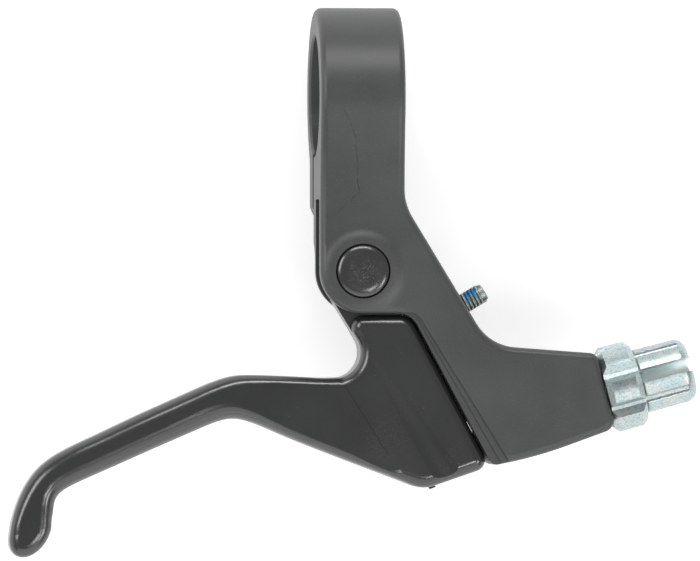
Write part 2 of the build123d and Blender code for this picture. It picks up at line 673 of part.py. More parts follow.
def make_tube(outer, inner, low, high):
    """Plain ring about the pivot."""
    return pin(outer, low, high, PIVOT) - pin(inner, low, high, PIVOT)


def make_return_spring():
    """Torsion spring in the hub, with one leg in the bracket and one in the lever."""
    steps = round(SPRING_STEPS * SPRING_TURNS)
    path = [at_height(SPRING_FOOT, FORK_LOW - SPRING_LEG + SPRING_CLEARANCE)]
    for step in range(steps + 1):
        angle = SPRING_START_ANGLE + 360 * SPRING_TURNS * step / steps
        height = SPRING_BOTTOM + (SPRING_TOP - SPRING_BOTTOM) * step / steps
        path.append(at_height(PIVOT + heading(angle) * SPRING_RADIUS, height))
    path.append(at_height(SPRING_HEAD, SPRING_TOP + SPRING_LEG - SPRING_CLEARANCE))
    section = Plane(origin=path[0], z_dir=UP) * RegularPolygon(SPRING_WIRE / 2, SPRING_SIDES)
    return sweep(section, path=Polyline(*path), transition=Transition.RIGHT)


def make_clamp_bolt():
    """Socket head bolt that closes the clamp from the back."""
    bottom = BOLT_SEAT - BOLT_HEAD_HEIGHT
    head = pin(BOLT_HEAD_RADIUS, bottom, BOLT_SEAT, BOLT_CENTRE)
    head = chamfer(head.edges().sort_by(Axis.Z)[0], BOLT_CHAMFER)
    shank = pin(BOLT_RADIUS, bottom, BOLT_TIP, BOLT_CENTRE)
    shank = chamfer(shank.edges().sort_by(Axis.Z)[-1], BOLT_CHAMFER)
    return head + shank - key_socket(BOLT_KEY, BOLT_KEY_DEPTH, at_height(BOLT_CENTRE, bottom), UP)


def make_reach_screw():
    """Grub screw that sets where the lever rests."""
    screw = rod(REACH_RADIUS, REACH_TIP, REACH_OUTER)
    rims = screw.edges().filter_by(GeomType.CIRCLE)
    screw = chamfer(rims, REACH_CHAMFER)
    return screw - key_socket(REACH_KEY, REACH_KEY_DEPTH, REACH_OUTER, -FLANK_NORMAL)


def make_lock_ring():
    """Lobed ring that locks the barrel adjuster against the bracket."""
    ring = rod(RING_RADIUS, CABLE_START + CABLE * SEAT_GAP, CABLE_START + CABLE * RING_END)
    ring = chamfer(ring.edges().filter_by(GeomType.CIRCLE), RING_CHAMFER)
    floor = RING_RADIUS - RING_GROOVE_DEPTH
    rim = RING_RADIUS + RING_GROOVE_DEPTH
    spread = RING_GROOVE_WIDTH - RING_GROOVE_FLOOR / 2
    groove = make_face(Polyline(
        (floor, -RING_GROOVE_FLOOR / 2),
        (rim, -spread),
        (rim, spread),
        (floor, RING_GROOVE_FLOOR / 2),
        close=True,
    ))
    grooves = Sketch() + PolarLocations(0, RING_LOBES, RING_TURN) * groove
    slot = Pos(0, -RING_RADIUS) * Rectangle(CABLE_SLOT, 2 * RING_RADIUS)
    ring -= extrude(CABLE_SECTION * grooves, RING_END)
    ring -= extrude(CABLE_SECTION * slot, RING_END)
    return ring - extrude(CABLE_SECTION * Circle(THREAD_RADIUS), RING_END)


def make_barrel_adjuster():
    """Fluted adjuster with its shank, housing socket and cable slot."""
    profile = corner_face([
        (Vector(0, HEAD_SEAT), 0),
        (Vector(BARREL_INNER_RADIUS - BARREL_INNER_CHAMFER, HEAD_SEAT), 0),
        (Vector(BARREL_INNER_RADIUS, HEAD_SEAT + BARREL_INNER_CHAMFER), 0),
        (Vector(BARREL_OUTER_RADIUS, HEAD_END), BARREL_END_ROUND),
        (Vector(0, HEAD_END), 0),
    ])
    lengthwise = Plane(origin=CABLE_START, x_dir=CABLE_SIDE, z_dir=CABLE_SIDE.cross(CABLE))
    barrel = revolve(lengthwise * profile, Axis(CABLE_START, CABLE))
    shank_end = CABLE_START - CABLE * SHANK_LENGTH
    outer_end = CABLE_START + CABLE * HEAD_END
    barrel += rod(THREAD_RADIUS - THREAD_CLEARANCE, shank_end, CABLE_START + CABLE * HEAD_SEAT)
    slot_angle = 90 - BARREL_TURN
    flute_centre = BARREL_INNER_RADIUS - FLUTE_DEPTH + FLUTE_RADIUS
    flutes = Sketch()
    for index in range(1, FLUTE_COUNT):
        angle = slot_angle + index * 360 / FLUTE_COUNT
        flutes += Pos(heading(angle) * flute_centre) * Circle(FLUTE_RADIUS)
    slot = Pos(BARREL_INNER_RADIUS, 0) * Rectangle(2 * BARREL_INNER_RADIUS, BARREL_SLOT)
    barrel -= extrude(CABLE_SECTION * flutes, HEAD_END - FLUTE_END)
    barrel -= extrude(CABLE_SECTION * Rot(0, 0, slot_angle) * slot, HEAD_END + SHANK_LENGTH, both=True)
    barrel -= rod(SOCKET_RADIUS, outer_end - CABLE * SOCKET_DEPTH, outer_end)
    return barrel - rod(CABLE_HOLE_RADIUS, shank_end, outer_end)


os.makedirs("parts", exist_ok=True)

washer_inner = AXLE_RADIUS + WASHER_CLEARANCE
rear_washer_low = FORK_LOW + RUNNING_CLEARANCE
front_washer_low = TONGUE_HIGH + RUNNING_CLEARANCE

pieces = {
    "lever_body": make_lever_body(),
    "lever_blade": make_lever_blade(),
    "pivot_axle": make_pivot_axle(),
    "pivot_screw": make_pivot_screw(),
    "pivot_bush": make_tube(BUSH_RADIUS, AXLE_RADIUS + AXLE_FIT, TONGUE_LOW, TONGUE_HIGH),
    "front_thrust_washer": make_tube(
        WASHER_RADIUS, washer_inner, front_washer_low, front_washer_low + WASHER_THICKNESS
    ),
    "rear_thrust_washer": make_tube(
        WASHER_RADIUS, washer_inner, rear_washer_low, rear_washer_low + WASHER_THICKNESS
    ),
    "return_spring": make_return_spring(),
    "clamp_bolt": make_clamp_bolt(),
    "reach_screw": make_reach_screw(),
    "lock_ring": make_lock_ring(),
    "barrel_adjuster": make_barrel_adjuster(),
}

for name, shape in pieces.items():
    export_step(shape, f"parts/{name}.step")
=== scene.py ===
"""Studio scene of a flat-bar bicycle brake lever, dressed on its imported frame."""

import logging
import math
from abc import ABC, abstractmethod
from collections.abc import Sequence
from dataclasses import dataclass, replace
from enum import Enum
from functools import reduce

import bmesh
import bpy
from mathutils import Euler, Matrix, Vector


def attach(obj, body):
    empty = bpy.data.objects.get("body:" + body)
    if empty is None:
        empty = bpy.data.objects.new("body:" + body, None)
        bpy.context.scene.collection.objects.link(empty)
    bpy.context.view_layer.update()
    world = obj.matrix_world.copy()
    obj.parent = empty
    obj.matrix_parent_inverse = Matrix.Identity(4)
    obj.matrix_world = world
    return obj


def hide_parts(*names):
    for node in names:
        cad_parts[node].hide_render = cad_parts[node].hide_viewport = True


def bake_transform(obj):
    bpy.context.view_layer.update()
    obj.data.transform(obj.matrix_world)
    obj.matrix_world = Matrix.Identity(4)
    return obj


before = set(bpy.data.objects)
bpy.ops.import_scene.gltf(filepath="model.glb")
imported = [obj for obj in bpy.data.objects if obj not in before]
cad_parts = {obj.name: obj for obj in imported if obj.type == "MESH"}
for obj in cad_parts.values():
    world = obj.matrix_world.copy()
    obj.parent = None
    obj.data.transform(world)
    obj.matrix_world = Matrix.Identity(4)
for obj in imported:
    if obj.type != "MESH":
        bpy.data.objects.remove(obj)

LOG = logging.getLogger("brake_lever")

Pair = tuple[float, float]
Triple = tuple[float, float, float]
Tint = tuple[float, float, float, float]
Outputs = bpy.types.bpy_prop_collection
Socket = bpy.types.NodeSocket
Tree = bpy.types.NodeTree

MM = 0.001
FLOAT = "NodeSocketFloat"
VECTOR = "NodeSocketVector"

# Places on the part in millimetres
PIVOT = (0.0, -32.4, 0.0)
BOLT_SEAT = (0.0, -18.0, -6.0)
BOSS_END = (45.0789, -54.5888, 7.25)
REACH_END = (22.7188, -36.3173, 7.25)

# Directions on the part
UPRIGHT = (0.0, 0.0, 1.0)
ALONG_CABLE = (0.9659258, 0.2588190, 0.0)
ALONG_REACH = (0.8553643, 0.5180270, 0.0)
ACROSS_REACH = (-0.5180270, 0.8553643, 0.0)


class Body(str, Enum):
    """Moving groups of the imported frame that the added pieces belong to."""

    BRACKET = "bracket"
    LEVER = "lever"
    REACH = "reach"


class Effect(Enum):
    """Surface effects that several finishes share."""

    COAT = "coat_grain"
    SCUFFS = "scuff_marks"
    SCRATCH = "face_scratch"
    SPECKS = "speck_patch"
    DUST = "dust_grains"
    THREAD = "screw_thread"
    TURNING = "turning_rings"


class Sheen(Enum):
    """Roughness of the black coat."""

    CASTING = 0.42
    BLADE = 0.20


def tint(colour: Triple, shade: float = 1.0) -> Tint:
    """Colour with a full alpha, made darker or lighter."""
    return (*(part * shade for part in colour), 1.0)


def grey(tone: float) -> Tint:
    """Neutral colour with a full alpha."""
    return (tone, tone, tone, 1.0)


def metres(place: Sequence[float]) -> tuple[float, ...]:
    """Place in metres, from millimetres."""
    return tuple(part * MM for part in place)


def on_face(place: Pair) -> tuple[float, ...]:
    """Point of a face seen from above in metres, from millimetres."""
    return metres((*place, 0.0))


class Pen:
    """Adds nodes and links to one node tree."""

    NUMBERS = ("DOT_PRODUCT", "LENGTH")

    def __init__(self, tree: Tree) -> None:
        """Start drawing in a tree."""
        self.tree = tree

    def node(self, kind: str, **settings: object) -> bpy.types.Node:
        """Add a node.

        Args:
            kind: The node's type name.
            **settings: Properties to set on it.

        Returns:
            The new node.
        """
        made = self.tree.nodes.new(kind)
        for name, value in settings.items():
            setattr(made, name, value)
        return made

    def link(self, source: Socket, target: Socket) -> None:
        """Join an output to an input."""
        self.tree.links.new(source, target)

    def feed(self, target: Socket, value: object) -> None:
        """Give an input a link or a plain value.

        Args:
            target: The input socket.
            value: An output socket, a number, a vector or a colour.
        """
        if isinstance(value, Socket):
            self.link(value, target)
        else:
            target.default_value = value

    def fill(self, made: bpy.types.Node, values: Sequence[object]) -> None:
        """Give a node's first inputs their links or plain values, in order."""
        for socket, value in zip(made.inputs, values):
            self.feed(socket, value)

    def math(self, operation: str, *values: object, clamp: bool = False) -> Socket:
        """Work out a number.

        Args:
            operation: The Math node's operation.
            *values: Its inputs in order.
            clamp: Whether the result stays between 0 and 1.

        Returns:
            The result's socket.
        """
        made = self.node("ShaderNodeMath", operation=operation, use_clamp=clamp)
        self.fill(made, values)
        return made.outputs[0]

    def plus(self, *terms: object) -> Socket:
        """Add numbers in order."""
        return reduce(lambda left, right: self.math("ADD", left, right), terms)

    def times(self, *factors: object) -> Socket:
        """Multiply numbers in order."""
        return reduce(lambda left, right: self.math("MULTIPLY", left, right), factors)

    def weighted(self, *fields: tuple[object, float]) -> Socket:
        """Add fields in order, each times its weight."""
        return self.plus(*(self.times(field, weight) for field, weight in fields))

    def vector(self, operation: str, *values: object) -> Socket:
        """Work with vectors.

        Args:
            operation: The Vector Math node's operation.
            *values: Its inputs in order.

        Returns:
            The result's socket, a number for a length or a dot product.
        """
        made = self.node("ShaderNodeVectorMath", operation=operation)
        self.fill(made, values)
        return made.outputs["Value" if operation in self.NUMBERS else "Vector"]

    def scaled(self, vector: object, factor: object) -> Socket:
        """Multiply a vector by a number.

        Args:
            vector: The vector or its socket.
            factor: The number or its socket.

        Returns:
            The longer or shorter vector's socket.
        """
        made = self.node("ShaderNodeVectorMath", operation="SCALE")
        self.feed(made.inputs[0], vector)
        self.feed(made.inputs["Scale"], factor)
        return made.outputs[0]

    def along(self, where: object, origin: object, axis: object) -> tuple[Socket, Socket]:
        """Measure a place along an axis.

        Args:
            where: The place.
            origin: A point on the axis.
            axis: The axis's direction.

        Returns:
            The way from the origin to the place, and its dot product with the direction.
        """
        reach = self.vector("SUBTRACT", where, origin)
        return reach, self.vector("DOT_PRODUCT", reach, axis)

    def ramp(
        self, value: object, low: float, high: float, start: float = 0.0, end: float = 1.0
    ) -> Socket:
        """Map a range smoothly onto another.

        Args:
            value: The number to map.
            low: Where the change starts.
            high: Where the change ends.
            start: The result at low.
            end: The result at high.

        Returns:
            The result's socket.
        """
        made = self.node("ShaderNodeMapRange", interpolation_type="SMOOTHSTEP")
        self.fill(made, (value, low, high, start, end))
        return made.outputs[0]

    def fade(self, value: object, low: float, high: float) -> Socket:
        """Map a range smoothly onto the way from 1 down to 0."""
        return self.ramp(value, low, high, start=1.0, end=0.0)

    def noise(
        self, where: object, scale: object, detail: float = 2.0, rough: float = 0.5
    ) -> Socket:
        """Add a noise field.

        Args:
            where: The coordinates.
            scale: Its frequency per metre.
            detail: Its octaves.
            rough: How strong the finer octaves are.

        Returns:
            The noise value's socket.
        """
        made = self.node("ShaderNodeTexNoise")
        self.feed(made.inputs["Vector"], where)
        self.feed(made.inputs["Scale"], scale)
        made.inputs["Detail"].default_value = detail
        made.inputs["Roughness"].default_value = rough
        return made.outputs["Fac"]

    def mix(self, factor: object, first: object, second: object) -> Socket:
        """Mix two colours.

        Args:
            factor: How much of the second shows.
            first: A colour or its socket.
            second: A colour or its socket.

        Returns:
            The mixed colour's socket.
        """
        made = self.node("ShaderNodeMix", data_type="RGBA")
        self.feed(made.inputs["Factor"], factor)
        self.feed(made.inputs["A"], first)
        self.feed(made.inputs["B"], second)
        return made.outputs["Result"]

    def over(self, tone: object, mask: object, share: float, colour: Tint) -> Socket:
        """Lay a share of a colour over a tone where a mask shows it."""
        return self.mix(self.times(mask, share), tone, colour)


class Effects:
    """Node groups of the shared surface effects, each built once."""

    FLAT = (1.0, 1.0, 0.0)
    MIDDLE = (0.5, 0.5, 0.5)

    def __init__(self) -> None:
        """Build the groups."""
        self.trees: dict[Effect, Tree] = {}
        self._coat()
        self._scuffs()
        self._scratch()
        self._specks()
        self._dust()
        self._thread()
        self._turning()

    def group(
        self,
        effect: Effect,
        vectors: Sequence[str],
        floats: Sequence[str],
        outputs: Sequence[str] = ("Mask",),
    ) -> tuple[Pen, dict[str, Socket], dict[str, Socket]]:
        """Start an effect's group, whose first input is the place, called Vector.

        Args:
            effect: The effect.
            vectors: Names of the other vector inputs.
            floats: Names of the number inputs.
            outputs: Names of the outputs, which are numbers.

        Returns:
            The pen, the sockets that carry the inputs, and the sockets that take the outputs.
        """
        tree = bpy.data.node_groups.new(effect.value, "ShaderNodeTree")
        inputs = {**dict.fromkeys(("Vector", *vectors), VECTOR), **dict.fromkeys(floats, FLOAT)}
        for label, kind in inputs.items():
            tree.interface.new_socket(name=label, in_out="INPUT", socket_type=kind)
        for label in outputs:
            tree.interface.new_socket(name=label, in_out="OUTPUT", socket_type=FLOAT)
        self.trees[effect] = tree
        pen = Pen(tree)
        entry = pen.node("NodeGroupInput")
        leave = pen.node("NodeGroupOutput")
        given = {label: entry.outputs[label] for label in inputs}
        wanted = {label: leave.inputs[label] for label in outputs}
        return pen, given, wanted

    def _coat(self) -> None:
        """Fine grain and slow mottle of a sprayed coat over a casting."""
        pen, given, wanted = self.group(
            Effect.COAT, (), ("Grain Scale", "Mottle Scale"), ("Grain", "Mottle", "Height")
        )
        where, fine = given["Vector"], given["Grain Scale"]
        grain = pen.noise(where, fine, detail=3.0, rough=0.6)
        mottle = pen.noise(where, given["Mottle Scale"], detail=4.0, rough=0.55)
        peel_scale = pen.times(fine, 0.22)
        peel = pen.noise(where, peel_scale, detail=1.0)
        pen.link(grain, wanted["Grain"])
        pen.link(pen.ramp(mottle, low=0.3, high=0.7), wanted["Mottle"])
        pen.link(pen.weighted((grain, 0.35), (peel, 0.65)), wanted["Height"])

    def _scuffs(self) -> None:
        """Short fine rub marks along one direction, in loose patches."""
        pen, given, wanted = self.group(Effect.SCUFFS, ("Turn",), ("Scale", "Amount"))
        turned = pen.node("ShaderNodeMapping")
        pen.link(given["Vector"], turned.inputs["Vector"])
        pen.link(given["Turn"], turned.inputs["Rotation"])
        turned.inputs["Scale"].default_value = (1.0, 7.0, 4.0)
        marks = pen.noise(turned.outputs[0], given["Scale"], rough=0.6)
        patch_scale = pen.times(given["Scale"], 0.8)
        patch = pen.ramp(pen.noise(given["Vector"], patch_scale), low=0.45, high=0.62)
        sharp = pen.ramp(marks, low=0.62, high=0.74)
        pen.link(pen.times(sharp, patch, given["Amount"]), wanted["Mask"])

    def _scratch(self) -> None:
        """One fine line between two points of a face, straight or wandering, whole or broken."""
        pen, given, wanted = self.group(
            Effect.SCRATCH, ("Start", "End"), ("Width", "Wander", "Broken")
        )
        wander = pen.node("ShaderNodeTexNoise")
        pen.link(given["Vector"], wander.inputs["Vector"])
        wander.inputs["Scale"].default_value = 260.0
        drift = pen.vector("SUBTRACT", wander.outputs["Color"], self.MIDDLE)
        moved = pen.vector("ADD", given["Vector"], pen.scaled(drift, given["Wander"]))
        flat = pen.vector("MULTIPLY", moved, self.FLAT)
        run = pen.vector("SUBTRACT", given["End"], given["Start"])
        reach, along = pen.along(flat, given["Start"], run)
        share = pen.math("DIVIDE", along, pen.vector("DOT_PRODUCT", run, run), clamp=True)
        distance = pen.vector("LENGTH", pen.vector("SUBTRACT", reach, pen.scaled(run, share)))
        apart = pen.math("DIVIDE", distance, given["Width"])
        line = pen.math("SUBTRACT", 1.0, apart, clamp=True)
        gaps = pen.fade(pen.noise(given["Vector"], scale=900.0), low=0.35, high=0.55)
        kept = pen.math("SUBTRACT", 1.0, pen.times(gaps, given["Broken"]))
        pen.link(pen.times(line, kept), wanted["Mask"])

    def _specks(self) -> None:
        """Fine bright specks in a round patch that fades at its border."""
        pen, given, wanted = self.group(Effect.SPECKS, ("Centre",), ("Radius", "Scale"))
        reach = pen.vector("SUBTRACT", given["Vector"], given["Centre"])
        distance = pen.vector("LENGTH", pen.vector("MULTIPLY", reach, self.FLAT))
        patch = pen.fade(pen.math("DIVIDE", distance, given["Radius"]), low=0.35, high=1.0)
        grains = pen.noise(given["Vector"], given["Scale"], detail=3.0, rough=0.7)
        dots = pen.ramp(grains, low=0.52, high=0.74)
        pen.link(pen.times(dots, patch), wanted["Mask"])

    def _dust(self) -> None:
        """Single tiny grains, far apart."""
        pen, given, wanted = self.group(Effect.DUST, (), ("Scale", "Share"))
        cells = pen.node("ShaderNodeTexVoronoi")
        pen.link(given["Vector"], cells.inputs["Vector"])
        pen.link(given["Scale"], cells.inputs["Scale"])
        dot = pen.fade(cells.outputs["Distance"], low=0.05, high=0.14)
        draw = pen.node("ShaderNodeSeparateXYZ")
        pen.link(cells.outputs["Color"], draw.inputs[0])
        chosen = pen.math("LESS_THAN", draw.outputs["X"], given["Share"])
        pen.link(pen.times(dot, chosen), wanted["Mask"])

    def _thread(self) -> None:
        """Height of a screw thread about an axis, kept to the part of the axis before its end."""
        pen, given, wanted = self.group(
            Effect.THREAD, ("Origin", "Axis"), ("Pitch", "End"), ("Height",)
        )
        _, along = pen.along(given["Vector"], given["Origin"], given["Axis"])
        wave = pen.math("PINGPONG", pen.math("DIVIDE", along, given["Pitch"]), 0.5)
        kept = pen.math("LESS_THAN", along, given["End"])
        pen.link(pen.times(wave, 2.0, kept), wanted["Height"])

    def _turning(self) -> None:
        """Fine lathe rings about an axis, and the distance from it."""
        pen, given, wanted = self.group(
            Effect.TURNING, ("Origin", "Axis"), ("Fineness",), ("Rings", "Radius")
        )
        reach, along = pen.along(given["Vector"], given["Origin"], given["Axis"])
        apart = pen.vector("SUBTRACT", reach, pen.scaled(given["Axis"], along))
        radius = pen.vector("LENGTH", apart)
        spread = pen.node("ShaderNodeCombineXYZ")
        pen.fill(spread, (along, radius))
        pen.link(pen.noise(spread.outputs[0], given["Fineness"], rough=0.65), wanted["Rings"])
        pen.link(radius, wanted["Radius"])


class Surface:
    """One material being drawn, with its shader at hand."""

    def __init__(self, name: str, effects: Effects) -> None:
        """Start an empty material.

        Args:
            name: The material's name.
            effects: The shared surface effects.
        """
        self.effects = effects
        self.material = bpy.data.materials.new(name)
        self.material.use_nodes = True
        self.pen = Pen(self.material.node_tree)
        self.shader = self.material.node_tree.nodes["Principled BSDF"]
        self.where = self.pen.node("ShaderNodeTexCoord").outputs["Object"]

    def set(self, **inputs: object) -> None:
        """Give the shader's inputs links or plain values, with underscores for spaces."""
        for name, value in inputs.items():
            self.pen.feed(self.shader.inputs[name.replace("_", " ")], value)

    def effect(self, effect: Effect, **inputs: object) -> Outputs:
        """Place a shared effect.

        Args:
            effect: The effect.
            **inputs: Its inputs, with underscores for spaces.

        Returns:
            The effect's outputs.
        """
        made = self.pen.node("ShaderNodeGroup", node_tree=self.effects.trees[effect])
        self.pen.link(self.where, made.inputs["Vector"])
        for name, value in inputs.items():
            self.pen.feed(made.inputs[name.replace("_", " ")], value)
        return made.outputs

    def mottled(self, coat: Outputs, colour: Triple, dark: float, light: float) -> Socket:
        """Vary a colour by a coat's mottle.

        Args:
            coat: Outputs of the coat effect.
            colour: The plain colour.
            dark: Its darkest shade.
            light: Its lightest shade.

        Returns:
            The colour's socket.
        """
        return self.pen.mix(coat["Mottle"], tint(colour, dark), tint(colour, light))

    def bump(self, height: object, distance: float, strength: float) -> None:
        """Raise the surface by a height field.

        Args:
            height: The height's socket.
            distance: The height of 1, in metres.
            strength: How much of it shows.
        """
        made = self.pen.node("ShaderNodeBump")
        made.inputs["Distance"].default_value = distance
        made.inputs["Strength"].default_value = strength
        self.pen.feed(made.inputs["Height"], height)
        self.pen.link(made.outputs["Normal"], self.shader.inputs["Normal"])


@dataclass(frozen=True, kw_only=True)
class Scratch:
    """A fine line on a face that runs through a few points, in millimetres."""

    route: tuple[Pair, ...]
    width: float
    wander: float = 0.0
    broken: float = 0.0
    depth: float = 1.5

    def mask(self, surface: Surface) -> Socket:
        """Draw the line's mask.

        Args:
            surface: The material that it lies on.

        Returns:
            The mask's socket, 1 in the middle of the line.
        """
        whole: object = 0.0
        for first, second in zip(self.route, self.route[1:]):
            stretch = surface.effect(
                Effect.SCRATCH,
                Start=on_face(first),
                End=on_face(second),
                Width=self.width * MM,
                Wander=self.wander * MM,
                Broken=self.broken,
            )
            whole = surface.pen.math("MAXIMUM", whole, stretch["Mask"])
        return whole


@dataclass(frozen=True, kw_only=True)
class SpeckPatch:
    """A round patch of the coat with bright specks, in millimetres."""

    centre: Pair
    radius: float
    strength: float


@dataclass(frozen=True, kw_only=True)
class Thread:
    """A screw thread that ends at a place on its axis, in millimetres."""

    pitch: float
    end: float


@dataclass(frozen=True, kw_only=True)
class Finish(ABC):
    """Look that one or more pieces wear."""

    name: str
    colour: Triple

    @abstractmethod
    def draw(self, surface: Surface) -> None:
        """Draw the look into a new material."""

    def make(self, effects: Effects) -> bpy.types.Material:
        """Make the material.

        Args:
            effects: The shared surface effects.

        Returns:
            The finished material.
        """
        surface = Surface(self.name, effects)
        self.draw(surface)
        return surface.material


@dataclass(frozen=True, kw_only=True)
class SatinCoat(Finish):
    """Satin black coat on a casting, with fine grain, slow mottle, specks and scratches."""

    sheen: Sheen
    specular: float
    rub: float
    mottle: float
    fleck: float
    grain: float
    scratches: tuple[Scratch, ...] = ()
    patches: tuple[SpeckPatch, ...] = ()

    def draw(self, surface: Surface) -> None:
        """Draw the coat.

        Args:
            surface: The material.
        """
        pen = surface.pen
        coat = surface.effect(Effect.COAT, Grain_Scale=3000.0, Mottle_Scale=70.0)
        rub = surface.effect(Effect.SCUFFS, Turn=(0.0, 0.0, 0.9), Scale=300.0, Amount=self.rub)
        dust = surface.effect(Effect.DUST, Scale=1250.0, Share=0.05)
        bright = tint(self.colour, shade=1.9)
        flecks = pen.ramp(coat["Grain"], low=0.52, high=0.74, end=self.fleck)
        tone = surface.mottled(coat, self.colour, 1.0 - self.mottle, 1.0 + self.mottle)
        tone = pen.mix(flecks, tone, bright)
        tone = pen.over(tone, rub["Mask"], share=0.4, colour=bright)
        tone = pen.over(tone, dust["Mask"], share=0.6, colour=grey(0.13))
        height = coat["Height"]
        for patch in self.patches:
            specks = surface.effect(
                Effect.SPECKS,
                Centre=on_face(patch.centre),
                Radius=patch.radius * MM,
                Scale=3800.0,
            )
            tone = pen.over(tone, specks["Mask"], share=patch.strength, colour=grey(0.16))
        for mark in self.scratches:
            line = mark.mask(surface)
            tone = pen.mix(line, tone, tint(self.colour, shade=0.1))
            height = pen.math("SUBTRACT", height, pen.times(line, mark.depth))
        surface.set(
            Base_Color=tone,
            Roughness=pen.weighted((self.sheen.value, 1.0), (coat["Mottle"], 0.05)),
            Specular_IOR_Level=self.specular,
        )
        surface.bump(height, distance=0.00002, strength=self.grain)


@dataclass(frozen=True, kw_only=True)
class TurnedFinish(Finish):
    """Look of a piece that was turned about an axis, and may have a thread, in millimetres."""

    roughness: float
    origin: Triple
    axis: Triple
    thread: Thread | None = None

    def place(self) -> dict[str, tuple[float, ...]]:
        """Inputs that give an effect the piece's axis."""
        return {"Origin": metres(self.origin), "Axis": self.axis}

    def threaded(self, height: Socket, surface: Surface) -> Socket:
        """Add the thread to a height field, if there is one.

        Args:
            height: The height's socket.
            surface: The material.

        Returns:
            The new height's socket.
        """
        if self.thread is None:
            return height
        pitch, end = metres((self.thread.pitch, self.thread.end))
        ridge = surface.effect(Effect.THREAD, Pitch=pitch, End=end, **self.place())
        return surface.pen.plus(height, ridge["Height"])


@dataclass(frozen=True, kw_only=True)
class BlackSteel(TurnedFinish):
    """Blackened steel with turning rings and scuffs, and sand on its flat top."""

    scuff: float
    sand: float = 0.0

    def draw(self, surface: Surface) -> None:
        """Draw the steel.

        Args:
            surface: The material.
        """
        pen = surface.pen
        rings = surface.effect(Effect.TURNING, Fineness=4200.0, **self.place())["Rings"]
        coat = surface.effect(Effect.COAT, Grain_Scale=4200.0, Mottle_Scale=240.0)
        scuffs = (
            surface.effect(Effect.SCUFFS, Turn=(0.0, 0.0, 0.5), Scale=420.0, Amount=self.scuff),
            surface.effect(Effect.SCUFFS, Turn=(0.0, 0.0, 2.1), Scale=560.0, Amount=self.scuff),
        )
        worn = pen.math("MAXIMUM", *(marks["Mask"] for marks in scuffs))
        tone = surface.mottled(coat, self.colour, dark=0.8, light=1.2)
        tone = pen.over(tone, worn, share=0.5, colour=grey(0.16))
        height = pen.weighted((rings, 0.03), (coat["Height"], 0.03))
        if self.sand > 0.0:
            sand = surface.effect(
                Effect.SPECKS, Centre=metres(self.origin), Radius=self.sand * MM, Scale=3400.0
            )["Mask"]
            tone = pen.over(tone, sand, share=0.55, colour=grey(0.12))
            height = pen.weighted((height, 1.0), (sand, 0.10))
        surface.set(
            Base_Color=tone,
            Roughness=pen.weighted((self.roughness, 1.0), (rings, 0.10)),
            Specular_IOR_Level=1.0,
        )
        surface.bump(self.threaded(height, surface), distance=0.00035, strength=0.6)


@dataclass(frozen=True, kw_only=True)
class ZincPlate(TurnedFinish):
    """Bright zinc plate with a cool tone, lathe rings, sandy grain, faint stains and painted
    light inside its bore.
    """

    COOL = (0.86, 0.95, 0.98)
    WARM = (1.08, 1.05, 1.02)
    # Painted light: a brighter colour for the inside of the bore, standing in for light that
    # reaches into it
    PAINTED_BORE_LIGHT = (0.884, 0.95, 0.95)
    PAINTED_LIGHT_EDGE = 0.2

    painted_light_radius: float = 0.0

    def draw(self, surface: Surface) -> None:
        """Draw the plate, with painted light that brightens it inside its bore if it has one.

        Args:
            surface: The material.
        """
        pen = surface.pen
        turned = surface.effect(Effect.TURNING, Fineness=3600.0, **self.place())
        coat = surface.effect(Effect.COAT, Grain_Scale=3000.0, Mottle_Scale=260.0)
        scuff = surface.effect(Effect.SCUFFS, Turn=(0.3, 0.2, 0.9), Scale=320.0, Amount=0.7)
        rings, grain = turned["Rings"], coat["Grain"]
        cool, warm = (
            tint(tuple(part * shift for part, shift in zip(self.colour, shifts)))
            for shifts in (self.COOL, self.WARM)
        )
        sand = pen.ramp(grain, low=0.46, high=0.66, end=0.6)
        tone = pen.mix(coat["Mottle"], cool, warm)
        tone = pen.over(tone, scuff["Mask"], share=0.35, colour=tint(self.colour, shade=0.55))
        tone = pen.mix(sand, tone, tint(self.colour, shade=0.4))
        # Painted light: within the bore's radius the plate is painted brighter, where the bore
        # and the head's slot lie in shade
        if self.painted_light_radius > 0.0:
            low, high = metres((self.painted_light_radius - self.PAINTED_LIGHT_EDGE, self.painted_light_radius + self.PAINTED_LIGHT_EDGE))
            tone = pen.mix(pen.fade(turned["Radius"], low, high), tone, tint(self.PAINTED_BORE_LIGHT))
        surface.set(
            Base_Color=tone,
            Metallic=1.0,
            Roughness=pen.weighted((self.roughness, 1.0), (rings, 0.16), (grain, 0.06)),
        )
        height = pen.weighted((rings, 0.05), (grain, 0.26))
        surface.bump(self.threaded(height, surface), distance=0.00035, strength=0.5)


